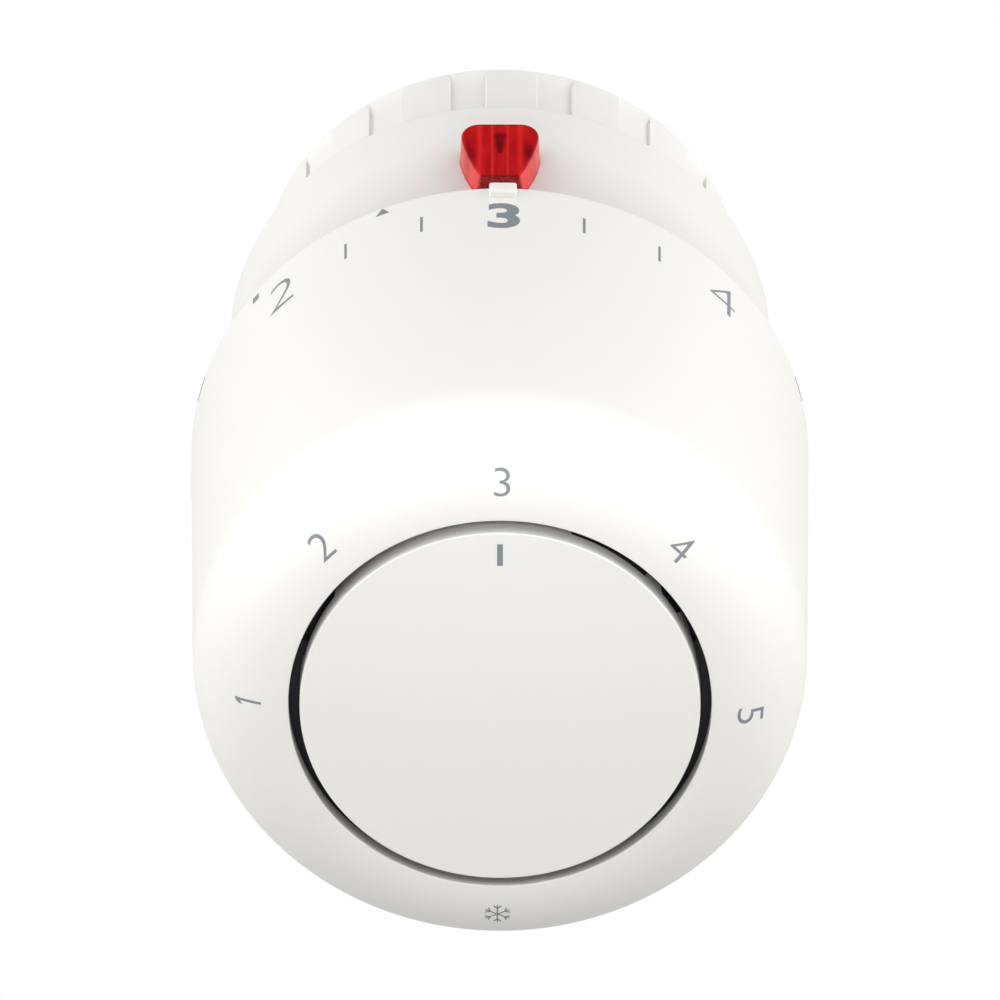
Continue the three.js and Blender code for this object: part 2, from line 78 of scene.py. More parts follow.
SLEEVE_FRONT, SLEEVE_REAR, SLEEVE_RADIUS = span("dial_sleeve")
DISC_FACE, DISC_REAR, DISC_RADIUS = span("front_disc")
COLLAR_FRONT, SEAT, COLLAR_RADIUS = span("base_collar")
CAGE_FRONT, CAGE_REAR, CAGE_RADIUS = span("sensor_cage")
RING_FRONT, RING_REAR, RING_RADIUS = span("knurled_ring")
MARK_FRONT, MARK_REAR, _ = span("red_indicator")
MARK_FOOT, MARK_TOP = (corner.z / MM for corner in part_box("red_indicator"))

# ---- Sizes that the frame's boxes don't show ----
SLEEVE_WALL = 2.0
IN_WALL = SLEEVE_RADIUS - 1.2  # how far the sleeve's inner ribs reach into its wall
NOSE = {"front_radius": 27.3, "mouth": 18.8, "length": 9.0, "power": 1.95, "lip": 1.9}
FLANGE = {"inner": 23.6, "front": -18.7, "rear": -17.5}
TAB = {"width": 2.45, "length": 1.5, "height": 0.7}
COLLAR_END = RING_FRONT + 1.7
RECESS = {"count": 17, "first": -7.8, "width": 3.16, "depth": 0.36, "end": 0.15}
NUT_THREAD = {"minor": 14.19, "major": 15.0, "pitch": 1.5, "front": 13.4, "rear": 20.0, "rows": 14}
SETTING_THREAD = {  # the ribs inside the sleeve, from and to in clock angles
    "starts": 3,
    "lead": 6,
    "from": -307,
    "to": 97,
    "inner": 23.6,
    "front": -28.4,
    "rear": -27.6,
}
ACROSS_FLATS = 33.0  # the nut's hexagon, which sits in the gripped ring
FIT = 0.3  # clearance between neighbouring pieces
MATERIALS = {}  # the finishes by name, filled by build_materials


# ---- Mesh helpers ----
def polar(radius, angle, y):
    a = math.radians(angle)
    return Vector((radius * math.sin(a), y, radius * math.cos(a)))


def rectangle(left, right, low, high):
    return [(left, low), (right, low), (right, high), (left, high)]


def rounded(outline, size, closed=True, steps=3):
    """Each sharp corner of an outline of (radius, y) points becomes a short arc."""
    points = [Vector(point) for point in outline]
    made = []
    for i, corner in enumerate(points):
        if not closed and i in (0, len(points) - 1):
            made.append(corner)
            continue
        before, after = points[i - 1] - corner, points[(i + 1) % len(points)] - corner
        if before.angle(after) > math.radians(160):
            made.append(corner)
            continue
        reach = min(size, 0.45 * before.length, 0.45 * after.length)
        start, end = corner + before.normalized() * reach, corner + after.normalized() * reach
        for step in range(steps + 1):
            t = step / steps
            made.append(start * (1 - t) ** 2 + corner * 2 * t * (1 - t) + end * t * t)
    return [tuple(point) for point in made]


def even_angles(count):
    return [360 * i / count for i in range(count)]


def clean_mesh(name, verts, faces):
    """A mesh in metres with doubled points merged, flat faces dropped and every face turned outwards."""
    mesh = bpy.data.meshes.new(name)
    mesh.from_pydata([Vector(v) * MM for v in verts], [], faces)
    work = bmesh.new()
    work.from_mesh(mesh)
    bmesh.ops.remove_doubles(work, verts=work.verts, dist=SAME_POINT)
    bmesh.ops.dissolve_degenerate(work, edges=work.edges, dist=FLAT_FACE)
    bmesh.ops.recalc_face_normals(work, faces=work.faces)
    if work.calc_volume(signed=True) < 0:
        bmesh.ops.reverse_faces(work, faces=work.faces)
    work.to_mesh(mesh)
    work.free()
    return mesh


def link(name, data):
    """A new object in the scene from a mesh, a curve, a light or a camera."""
    made = bpy.data.objects.new(name, data)
    bpy.context.scene.collection.objects.link(made)
    return made


def turned_body(name, outline_at, angles):
    """A closed body round Y. outline_at(angle) gives its (radius, y) points at each clock angle."""
    columns = [[polar(radius, angle, y) for radius, y in outline_at(angle)] for angle in angles]
    rows = len(columns[0])
    faces = []
    for i in range(len(columns)):
        here, following = i * rows, (i + 1) % len(columns) * rows
        for row in range(rows):
            up = (row + 1) % rows
            faces.append((here + row, here + up, following + up, following + row))
    return link(name, clean_mesh(name, [point for column in columns for point in column], faces))


def body_of_revolution(name, outline, segments=SEGMENTS, fillet=0.15):
    """A ring from a closed outline, or a solid when the outline starts and ends on the axis."""
    on_axis = outline[0][0] == 0
    profile = rounded(outline, fillet, closed=not on_axis) if fillet else outline
    return turned_body(name, lambda angle: profile, even_angles(segments))


def evaluated_mesh(made):
    """A new mesh from an object with its modifiers or its text worked out."""
    depsgraph = bpy.context.evaluated_depsgraph_get()
    return bpy.data.meshes.new_from_object(made.evaluated_get(depsgraph))


def joined(base, tools, operation):
    """base with each tool added (UNION) or cut away (DIFFERENCE). The tools are removed."""
    for tool in tools:
        modifier = base.modifiers.new("join", "BOOLEAN")
        modifier.operation = operation
        modifier.solver = "EXACT"
        modifier.object = tool
    mesh = evaluated_mesh(base)
    base.modifiers.clear()
    base.data = mesh
    for tool in tools:
        bpy.data.objects.remove(tool)


def bevelled_block(name, size, centre, bevel):
    mesh = bpy.data.meshes.new(name)
    work = bmesh.new()
    bmesh.ops.create_cube(work, size=1)
    bmesh.ops.scale(work, vec=Vector(size) * MM, verts=work.verts)
    bmesh.ops.bevel(work, geom=work.edges[:], offset=bevel * MM, segments=3, profile=0.5, affect="EDGES")
    bmesh.ops.translate(work, vec=Vector(centre) * MM, verts=work.verts)
    work.to_mesh(mesh)
    work.free()
    return link(name, mesh)


def lofted(name, rings):
    """A closed body through rings of equally many points, with a cap at each end."""
    size = len(rings[0])
    last = (len(rings) - 1) * size
    faces = []
    for first in range(0, last, size):
        for k in range(size):
            n = (k + 1) % size
            faces.append((first + k, first + n, first + size + n, first + size + k))
    faces += [tuple(range(size)), tuple(last + k for k in range(size))]
    return link(name, clean_mesh(name, [point for ring in rings for point in ring], faces))


def arc_block(name, start, end, inner, outer, front, rear, lead=0, step=3, bevel=0.12):
    """A rib bent round the axis between two clock angles, moving forward by lead per full turn."""
    section = rounded(rectangle(inner, outer, front, rear), bevel, steps=2)
    count = max(2, math.ceil((end - start) / step))
    rings = []
    for i in range(count + 1):
        angle = start + (end - start) * i / count
        rings.append([polar(radius, angle, y - lead * angle / 360) for radius, y in section])
    return lofted(name, rings)


def without_strays(mesh):
    """Slivers are dissolved, and edges and points that carry no face are removed."""
    work = bmesh.new()
    work.from_mesh(mesh)
    bmesh.ops.dissolve_degenerate(work, dist=SLIVER, edges=work.edges[:])
    bare = [edge for edge in work.edges if not edge.link_faces]
    bmesh.ops.delete(work, geom=bare, context="EDGES")
    points = [point for point in work.verts if not point.link_faces]
    bmesh.ops.delete(work, geom=points, context="VERTS")
    work.to_mesh(mesh)
    work.free()


def finish_piece(made, node, body):
    """Shading, the finish and slot of the CAD node it stands for, and the body it moves with."""
    without_strays(made.data)
    made.data.shade_smooth()
    made.data.set_sharp_from_angle(angle=SHARP_ANGLE)
    weighted = made.modifiers.new("face_weighted_normals", "WEIGHTED_NORMAL")
    weighted.keep_sharp = True
    slot = SLOTS[node]
    # The collar takes the shell finish with its painted shadow and painted red glow.
    finish = "collar_shell_painted_shade_and_glow" if node == "base_collar" else slot
    made.data.materials.clear()
    made.data.materials.append(MATERIALS[finish])
    if body:
        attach(made, body)
    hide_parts(node)


def dressed(made, node):
    """A piece takes the finish and the body of the CAD node that it stands for."""
    finish_piece(made, node, BODIES[node])


# ---- Node helpers ----
def add_node(tree, kind, inputs=None, **settings):
    made = tree.nodes.new(kind)
    for key, value in settings.items():
        setattr(made, key, value)
    for key, value in (inputs or {}).items():
        if isinstance(value, bpy.types.NodeSocket):
            tree.links.new(value, made.inputs[key])
        else:
            made.inputs[key].default_value = value
    return made


def noise(tree, position, size, detail=3, roughness=0.55):
    """Noise from 0 to 1 whose features measure about size millimetres."""
    inputs = {"Vector": position, "Scale": 1 / (size * MM), "Detail": detail, "Roughness": roughness}
    return add_node(tree, "ShaderNodeTexNoise", inputs).outputs["Fac"]


def maths(tree, operation, first, second=0.0):
    return add_node(tree, "ShaderNodeMath", {0: first, 1: second}, operation=operation).outputs[0]


def product(tree, first, second):
    return maths(tree, "MULTIPLY", first, second)


def remap(tree, value, low, high, to_low, to_high, **settings):
    inputs = {"Value": value, "From Min": low, "From Max": high, "To Min": to_low, "To Max": to_high}
    return add_node(tree, "ShaderNodeMapRange", inputs, **settings).outputs["Result"]


def band(tree, value, centre, reach):
    """1 where value is centre, falling smoothly to 0 at reach millimetres from it."""
    away = maths(tree, "ABSOLUTE", maths(tree, "SUBTRACT", value, centre * MM))
    return remap(tree, away, 0, reach * MM, 1, 0, interpolation_type="SMOOTHSTEP")


def mix_colour(tree, share, first, second):
    """The first colour at share 0, the second at share 1."""
    inputs = {0: share, 6: first, 7: second}
    return add_node(tree, "ShaderNodeMix", inputs, data_type="RGBA").outputs[2]


def axes(tree, vector):
    return add_node(tree, "ShaderNodeSeparateXYZ", {"Vector": vector}).outputs


def edge_mask(tree, radius):
    """1 along convex and concave edges, 0 on open faces."""
    soft = add_node(tree, "ShaderNodeBevel", {"Radius": radius * MM}, samples=3).outputs["Normal"]
    flat = add_node(tree, "ShaderNodeNewGeometry").outputs["Normal"]
    likeness = add_node(tree, "ShaderNodeVectorMath", {0: soft, 1: flat}, operation="DOT_PRODUCT")
    return remap(tree, likeness.outputs["Value"], 0.995, 0.93, 0, 1)


def ring_marks(tree, position):
    """Coordinates that are constant round the axis, for turned or drawn marks."""
    split = axes(tree, position)
    flat = add_node(tree, "ShaderNodeCombineXYZ", {"X": split["X"], "Z": split["Z"]}).outputs[0]
    radius = add_node(tree, "ShaderNodeVectorMath", {0: flat}, operation="LENGTH").outputs["Value"]
    return add_node(tree, "ShaderNodeCombineXYZ", {"X": radius, "Y": split["Y"]}).outputs[0]


def tinted(colour, factor):
    return tuple(min(1, channel * factor) for channel in colour[:3]) + (1,)


# ---- Materials ----
DRIFT_SIZE = 9
WEAR_WIDTH = 0.12
# How far, in millimetres, the painted shade in gaps looks for nearby surfaces.
PAINTED_SHADE_REACH = 4


def new_material(name):
    """A material with an empty node tree, and that tree."""
    material = bpy.data.materials.new(name)
    material.use_nodes = True
    material.node_tree.nodes.clear()
    return material, material.node_tree


def to_output(tree, shader):
    add_node(tree, "ShaderNodeOutputMaterial", {"Surface": shader.outputs[0]})


def painted_crevice_shade_mask(tree):
    """Painted shade: 1 in narrow gaps, 0 on open surfaces."""
    inputs = {"Distance": PAINTED_SHADE_REACH * MM}
    node = add_node(tree, "ShaderNodeAmbientOcclusion", inputs, samples=8)
    return remap(tree, node.outputs["AO"], 0.72, 0.3, 0, 1)


def collar_painted_shadow_and_glow(tree, position, tone):
    """Painted shadow towards the overhanging sleeve, and a painted glow of the red light that the mark
    spreads round itself.
    """
    split = axes(tree, position)
    # Painted shadow: grey grows towards the rim of the sleeve, which overhangs the collar.
    painted_shade = remap(tree, split["Y"], (SLEEVE_REAR + 3) * MM, (SLEEVE_REAR + 13) * MM, 0.19, 0)
    tone = mix_colour(tree, painted_shade, tone, (0.3, 0.3, 0.3, 1))
    across = maths(tree, "ABSOLUTE", split["X"])
    # Painted glow: red light from the mark, near it and stronger higher up the collar.
    spread = product(tree, band(tree, across, 0, 11), band(tree, split["Y"], MARK_FRONT, 13))
    painted_glow_height = remap(tree, split["Z"], 0, COLLAR_RADIUS * 0.8 * MM, 0, 0.035)
    return mix_colour(tree, product(tree, spread, painted_glow_height), tone, (0.8, 0.05, 0.05, 1))


def finish_tone(tree, position, grain, look):
    """The colour of a finish: drift, specks, worn edges, painted shade in narrow gaps, and on the collar a
    painted shadow and a painted red glow.
    """
    colour = look["colour"] + (1,)
    drift = noise(tree, position, DRIFT_SIZE, 2)
    spread = look.get("tone", 0.02)
    tone = mix_colour(tree, drift, tinted(colour, 1 - spread), tinted(colour, 1 + spread))
    speck = remap(tree, grain, 0.35, 0.75, 0, look.get("speck", 0.03))
    tone = mix_colour(tree, speck, tone, tinted(colour, 0.8))
    worn = remap(tree, edge_mask(tree, WEAR_WIDTH), 0, 1, 0, look.get("wear", 0.25))
    tone = mix_colour(tree, worn, tone, look.get("wear_colour", look["colour"]) + (1,))
    # Painted shade: the colour darkens where ambient occlusion finds a narrow gap.
    if "painted_crevice_shade" in look:
        tone = mix_colour(tree, painted_crevice_shade_mask(tree), tone, tinted(colour, look["painted_crevice_shade"]))
    # Painted shadow under the sleeve and painted red glow round the mark, on the collar only.
    if look.get("collar"):
        tone = collar_painted_shadow_and_glow(tree, position, tone)
    return tone


def finish_material(name, look):
    """A procedural finish with grain in its colour, its roughness and its relief, turned marks if asked."""
    material, tree = new_material(name)
    position = add_node(tree, "ShaderNodeTexCoord").outputs["Object"]
    grain_at = ring_marks(tree, position) if look.get("turned") else position
    grain = noise(tree, grain_at, look["grain_size"], 4, 0.6)
    smooth, rough = look["roughness"]
    height = look.get("grain_height", 0.01) * MM
    relief = {"Height": grain, "Strength": look.get("bump", 0.15), "Distance": height}
    inputs = {
        "Base Color": finish_tone(tree, position, grain, look),
        "Roughness": remap(tree, grain, 0.25, 0.8, smooth, rough),
        "Metallic": look.get("metallic", 0),
        "IOR": 1.5,
        "Normal": add_node(tree, "ShaderNodeBump", relief).outputs["Normal"],
    }
    to_output(tree, add_node(tree, "ShaderNodeBsdfPrincipled", inputs))
    return material


STEEL = dict(metallic=1, turned=True, grain_size=0.12, grain_height=0.02, wear=0.4)
LOOKS = {
    "shell": dict(
        colour=(0.86, 0.85, 0.815), roughness=(0.36, 0.5), grain_size=0.22, bump=0.25,
        # The shell's colour falls to 0.7 of itself in narrow gaps, as painted shade.
        tone=0.006, speck=0.02, wear=0.3, wear_colour=(0.93, 0.925, 0.91), painted_crevice_shade=0.7,
    ),
    "print": dict(
        colour=(0.225, 0.255, 0.278), roughness=(0.45, 0.6), grain_size=0.08,
        grain_height=0.004, tone=0.05, speck=0.12, wear=0,
    ),
    "cage": dict(
        colour=(0.05, 0.05, 0.053), roughness=(0.4, 0.6), grain_size=0.15,
        tone=0.2, speck=0.3, wear_colour=(0.06, 0.06, 0.06),
    ),
    "slider": dict(
        colour=(0.6, 0.59, 0.54), roughness=(0.35, 0.5), grain_size=0.3,
        wear_colour=(0.72, 0.71, 0.66),
    ),
    "thrust_plastic": dict(
        colour=(0.05, 0.047, 0.043), roughness=(0.35, 0.55), grain_size=0.12,
        turned=True, wear_colour=(0.14, 0.13, 0.12),
    ),
    "seal_rubber": dict(
        colour=(0.018, 0.018, 0.018), roughness=(0.6, 0.85), grain_size=0.1,
        speck=0.4, wear_colour=(0.05, 0.05, 0.05),
    ),
    "nickel_plate": dict(STEEL, colour=(0.6, 0.575, 0.52), roughness=(0.2, 0.34)),
    "spring_steel": dict(STEEL, colour=(0.42, 0.43, 0.44), roughness=(0.25, 0.42)),
    "can": dict(STEEL, colour=(0.62, 0.63, 0.64), roughness=(0.28, 0.45)),
    "bearing_bronze": dict(STEEL, colour=(0.5, 0.32, 0.12), roughness=(0.28, 0.45)),
    "copper": dict(STEEL, colour=(0.55, 0.22, 0.1), roughness=(0.25, 0.4)),
}
# The collar's shell also carries the painted shadow under the sleeve and the painted red glow round the
# mark.
LOOKS["collar_shell_painted_shade_and_glow"] = dict(LOOKS["shell"], collar=True)


def build_materials():
    MATERIALS.update({name: finish_material(name, look) for name, look in LOOKS.items()})
    MATERIALS["indicator"] = indicator_material()


def painted_hollow_shade(tree, across, y):
    """Painted shade of the hollow seen through the mark's top: wide at its rear end, narrowing towards the
    front, with a painted glint across it.
    """
    half_width = remap(tree, y, (MARK_REAR - 5.0) * MM, (MARK_REAR - 2.2) * MM, 0.26 * MM, 0.62 * MM)
    hollow = remap(tree, maths(tree, "DIVIDE", across, half_width), 0.45, 1.25, 1, 0)
    ends = remap(tree, band(tree, y, MARK_REAR - 3.5, 2.4), 0.08, 0.3, 0, 1)
    # Painted glint: the shade lifts across a narrow band.
    painted_glint = remap(tree, band(tree, y, MARK_REAR - 2.9, 0.6), 0, 1, 0.8, 0.55)
    return product(tree, product(tree, hollow, ends), painted_glint)


def flank_shade(tree, position, across, y):
    """Dark blotches inside both flanks."""
    blotches = remap(tree, noise(tree, position, 1.3, 3), 0.3, 0.55, 0.3, 1)
    spots = product(tree, band(tree, across, 2.6, 0.9), band(tree, y, -2.0, 2.8))
    return product(tree, product(tree, spots, blotches), 0.75)


def painted_front_shadow(tree, scratches, y):
    """Painted shadow and dark reflection on the front end, which lies in the shade of the sleeve's rim,
    speckled.
    """
    front_end = remap(tree, y, -6.0 * MM, -6.25 * MM, 0, 1)
    return product(tree, front_end, remap(tree, scratches, 0.35, 0.65, 0.4, 0.95))


def painted_wall_light(tree, y):
    """Painted light: 1 on the upright walls, which are painted paler, except at the rear end."""
    normal = add_node(tree, "ShaderNodeNewGeometry").outputs["Normal"]
    up = axes(tree, normal)["Z"]
    clear_of_rear = remap(tree, y, (MARK_REAR - 1.5) * MM, (MARK_REAR - 4.5) * MM, 0, 1)
    return product(tree, remap(tree, up, 0.7, 0.2, 0, 0.85), clear_of_rear)


def indicator_tone(tree, position, flow, scratches):
    """Red with flow lines, a dark rear end and dark flank blotches, and painted light: lit bands, paler
    walls and edges, the painted shade of the hollow inside and a painted shadow on the front end.
    """
    split = axes(tree, position)
    across, y = maths(tree, "ABSOLUTE", split["X"]), split["Y"]
    tone = mix_colour(tree, flow, (0.47, 0.011, 0.014, 1), (0.64, 0.014, 0.018, 1))
    rear_end = remap(tree, y, (MARK_REAR - 0.7) * MM, (MARK_REAR - 0.1) * MM, 0, 0.45)
    tone = mix_colour(tree, rear_end, tone, (0.3, 0.003, 0.005, 1))
    # Painted highlights: two lit bands on each side of the middle.
    lit = maths(tree, "MAXIMUM", band(tree, across, 0.68, 0.25), band(tree, across, 1.8, 0.45))
    tone = mix_colour(tree, product(tree, lit, 0.75), tone, (0.9, 0.03, 0.03, 1))
    # Painted light: the upright walls are paler.
    tone = mix_colour(tree, painted_wall_light(tree, y), tone, (1, 0.1, 0.1, 1))
    # The shades of the inside: the painted shade of the hollow, dark flank blotches and the painted shadow
    # on the front end.
    painted_shade = maths(tree, "MAXIMUM", painted_hollow_shade(tree, across, y), flank_shade(tree, position, across, y))
    painted_shade = maths(tree, "MAXIMUM", painted_shade, painted_front_shadow(tree, scratches, y))
    tone = mix_colour(tree, painted_shade, tone, (0.1, 0.005, 0.01, 1))
    # Painted highlight: paler lines along the edges.
    edges = remap(tree, edge_mask(tree, WEAR_WIDTH), 0, 1, 0, 0.2)
    return mix_colour(tree, edges, tone, (1, 0.15, 0.15, 1))


def indicator_material():
    """Clear red moulding with flow lines along Y and fine scratches."""
    material, tree = new_material("indicator")
    position = add_node(tree, "ShaderNodeTexCoord").outputs["Object"]
    stretch = {"Vector": position, "Scale": (1, 0.12, 1)}
    stretched_at = add_node(tree, "ShaderNodeMapping", stretch).outputs[0]
    flow = remap(tree, noise(tree, stretched_at, 0.45, 3), 0.36, 0.62, 0, 1)
    scratches = noise(tree, stretched_at, 0.12, 4)
    relief = {"Height": flow, "Strength": 0.06, "Distance": 0.05 * MM}
    inputs = {
        "Base Color": indicator_tone(tree, position, flow, scratches),
        "Roughness": remap(tree, scratches, 0.3, 0.8, 0.03, 0.12),
        "IOR": 1.15,
        "Specular IOR Level": 0.3,
        "Transmission Weight": 0.25,
        "Normal": add_node(tree, "ShaderNodeBump", relief).outputs["Normal"],
    }
    to_output(tree, add_node(tree, "ShaderNodeBsdfPrincipled", inputs))
    return material


# ---- Dial sleeve ----
def nose_y(radius, full, mouth, front, length):
    """The y of the rounded nose, a superellipse from the full radius in to the mouth."""
    power = NOSE["power"]
    cosine = min(1, max(0, (radius - mouth) / (full - mouth))) ** (power / 2)
    sine = math.sqrt(max(0, 1 - cosine * cosine))
    return front + length * (1 - sine ** (2 / power))


def nose_points(full, mouth, front, length, steps):
    power = NOSE["power"]
    points = []
    for i in range(steps + 1):
        t = math.pi / 2 * i / steps
        radius = mouth + (full - mouth) * max(0, math.cos(t)) ** (2 / power)
        points.append((radius, front + length * (1 - math.sin(t) ** (2 / power))))
    return points


def sleeve_outline():
    mouth, lip, length = NOSE["mouth"], NOSE["lip"], NOSE["length"]
    bore = SLEEVE_RADIUS - SLEEVE_WALL
    outer = nose_points(NOSE["front_radius"], mouth + 0.12, SLEEVE_FRONT, length, 40)
    lip_end = SLEEVE_FRONT + lip
    inner = nose_points(bore, mouth + 0.6, lip_end, length - lip, 16)
    rim = [(bore, SLEEVE_REAR), (SLEEVE_RADIUS, SLEEVE_REAR)]
    side = [(SLEEVE_RADIUS - 0.02, SLEEVE_REAR - 8), (NOSE["front_radius"] + 0.02, outer[0][1] + 4)]
    mouth_wall = [(mouth + 0.04, SLEEVE_FRONT + 0.02), (mouth, SLEEVE_FRONT + 0.09), (mouth, lip_end)]
    flange = rectangle(bore, FLANGE["inner"], FLANGE["front"], FLANGE["rear"])
    return rim + side + outer + mouth_wall + inner[::-1] + flange


def dial_sleeve():
    sleeve = body_of_revolution("turning_sleeve", sleeve_outline(), fillet=0.14)
    joined(sleeve, [tactile_tab()] + thread_ribs() + [stop_lug()], "UNION")
    dressed(sleeve, "dial_sleeve")


def tactile_tab():
    """The small raised tab behind the 3 of the sleeve's scale."""
    depth = 1  # how far its foot reaches into the sleeve
    size = (TAB["width"], TAB["length"], TAB["height"] + depth)
    centre_y = SLEEVE_REAR - 0.1 - TAB["length"] / 2
    centre_z = SLEEVE_RADIUS + TAB["height"] / 2 - depth / 2
    tab = bevelled_block("tactile_tab", size, (0, centre_y, centre_z), 0.22)
    tab.data.transform(Matrix.Rotation(math.radians(SCALE["turn"]), 4, "Y"))
    return tab


def thread_ribs():
    """The starts of the setting thread inside the sleeve."""
    shape = [SETTING_THREAD["from"], SETTING_THREAD["to"], SETTING_THREAD["inner"], IN_WALL]
    shape += [SETTING_THREAD["front"], SETTING_THREAD["rear"]]
    made = []
    for i in range(SETTING_THREAD["starts"]):
        rib = arc_block("rib", *shape, lead=SETTING_THREAD["lead"], step=4)
        turn = 360 * i / SETTING_THREAD["starts"]
        rib.data.transform(Matrix.Rotation(math.radians(turn), 4, "Y"))
        made.append(rib)
    return made


def stop_lug():
    """The lug on the sleeve's flange that meets the stop of the cage."""
    start, end, rear = -60, -30, -15.9
    return arc_block("lug", start, end, FLANGE["inner"], IN_WALL, FLANGE["rear"] - 0.5, rear)


# ---- Printed scales ----
INK = {"proud": 0.012, "buried": 0.05}
LIMITER_MARKS = {"triangle": -22.4, "bar": -52.3}  # clock angles
RIM_BARS = (-75.6, 75.6)  # clock angles
SCALE = {  # clock angles of the dial's scale at the middle setting, which stands a little past the index
    "turn": 0.55,
    "step": 15.3,
    "frost": 180.6,
    "clocks": {"1": -90.9, "2": -45.1, "3": 0.7, "4": 46.2, "5": 94.5},
}


def glyph(text, height, weight=0.0, width_scale=1.0):
    """A character as a closed slab in the XY plane, centred, height millimetres tall, cut for bending."""
    curve = bpy.data.curves.new("glyph", "FONT")
    curve.body = text
    curve.size = 1
    curve.offset = weight
    curve.extrude = 0.5
    curve.resolution_u = 8
    source = link("glyph", curve)
    work = bmesh.new()
    work.from_mesh(evaluated_mesh(source))
    bpy.data.objects.remove(source)
    xs = [v.co.x for v in work.verts]
    ys = [v.co.y for v in work.verts]
    scale = height / (max(ys) - min(ys))
    centre = Vector(((max(xs) + min(xs)) / 2, (max(ys) + min(ys)) / 2, 0))
    for v in work.verts:
        v.co = (v.co - centre) * scale
        v.co.x *= width_scale
        v.co.z = math.copysign(1, v.co.z)
    return cut_for_bending(work)


def slab(points):
    """A flat closed slab from an outline in the XY plane."""
    work = bmesh.new()
    top = work.faces.new([work.verts.new((x, y, 1)) for x, y in points])
    bottom = work.faces.new([work.verts.new((x, y, -1)) for x, y in reversed(points)])
    count = len(points)
    upper, lower = list(top.verts), list(reversed(bottom.verts))
    for i in range(count):
        n = (i + 1) % count
        work.faces.new((upper[n], upper[i], lower[i], lower[n]))
    return cut_for_bending(work)


def cut_for_bending(work, step=0.4):
    """Flat artwork cut into squares so that it can follow a curved surface."""
    bmesh.ops.remove_doubles(work, verts=work.verts, dist=1e-4)
    for axis in (0, 1):
        values = [v.co[axis] for v in work.verts]
        normal = Vector((1, 0, 0)) if axis == 0 else Vector((0, 1, 0))
        for i in range(math.ceil(min(values) / step), math.floor(max(values) / step) + 1):
            geometry = work.verts[:] + work.edges[:] + work.faces[:]
            place = normal * i * step
            bmesh.ops.bisect_plane(work, geom=geometry, dist=1e-5, plane_co=place, plane_no=normal)
    return work


def bar(width, length):
    x, y = width / 2, length / 2
    return slab(rectangle(-x, x, -y, y))


def ink_height(side):
    return INK["proud"] if side > 0 else -INK["buried"]


def on_side(clock, y_centre):
    """Places flat artwork on the sleeve's side, its top towards the rear."""

    def place(point):
        angle = clock + math.degrees(point.x / SLEEVE_RADIUS)
        y = y_centre + point.y
        share = (y - SLEEVE_REAR) / (SLEEVE_FRONT + NOSE["length"] - SLEEVE_REAR)
        radius = SLEEVE_RADIUS + (NOSE["front_radius"] - SLEEVE_RADIUS) * share
        return polar(radius + ink_height(point.z), angle, y)

    return place


def on_nose(clock, radius):
    """Places flat artwork on the sleeve's rounded front, its top outwards."""
    full, mouth, length = NOSE["front_radius"], NOSE["mouth"] + 0.12, NOSE["length"]

    def surface(r):
        return nose_y(r, full, mouth, SLEEVE_FRONT, length)

    def place(point):
        out = Vector((point.x, 0, radius + point.y))
        r = out.length
        angle = clock + math.degrees(math.atan2(out.x, out.z))
        slope = (surface(r + 0.05) - surface(r - 0.05)) / 0.1
        tilt = math.hypot(1, slope)
        height = ink_height(point.z)
        return polar(r + height * slope / tilt, angle, surface(r) - height / tilt)

    return place


def on_disc(clock, radius):
    def place(point):
        out = Vector((point.x, 0, radius + point.y))
        angle = clock + math.degrees(math.atan2(out.x, out.z))
        return polar(out.length, angle, DISC_FACE - ink_height(point.z))

    return place


def printed(name, body, marks):
    """One piece of ink from (artwork, placing) pairs."""
    whole = bmesh.new()
    for work, place in marks:
        for v in work.verts:
            v.co = place(v.co) * MM
        part = bpy.data.meshes.new("mark")
        work.to_mesh(part)
        work.free()
        whole.from_mesh(part)
        bpy.data.meshes.remove(part)
    bmesh.ops.recalc_face_normals(whole, faces=whole.faces)
    mesh = bpy.data.meshes.new(name)
    whole.to_mesh(mesh)
    whole.free()
    made = link(name, mesh)
    mesh.materials.append(MATERIALS["print"])
    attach(made, body)


def snowflake(size):
    """Six arms, each with a small fork, as separate slabs that meet at the middle."""
    stroke = 0.125
    marks = [(bar(stroke, size), 60 * i) for i in range(3)]
    for i in range(6):
        for lean in (-1, 1):
            twig = bar(stroke, size * 0.2)
            spin_and_shift(twig, -42 * lean, (size * 0.067 * lean, size * 0.375))
            marks.append((twig, 60 * i))
    for work, turn in marks:
        spin_and_shift(work, -turn, (0, 0))
    return [work for work, _ in marks]


def spin_and_shift(work, degrees, shift):
    """Turns flat artwork about its origin, then moves it."""
    spin = Matrix.Rotation(math.radians(degrees), 3, "Z")
    for v in work.verts:
        v.co = spin @ v.co + Vector((*shift, 0))


def numeral_one(height):
    """A plain 1 with a flag and no foot, as the photo shows it."""
    half, stroke = height / 2, height * 0.1
    foot = [(-stroke * 0.6, -half), (stroke * 0.5, -half)]
    top = [(stroke * 0.5, half), (-stroke * 0.6, half)]
    flag = [(-stroke * 2.1, half - stroke * 1.5), (-stroke * 2.1, half - stroke * 2.8)]
    return slab(foot[1:] + top + flag + [(-stroke * 0.6, half - stroke * 1.5)] + foot[:1])


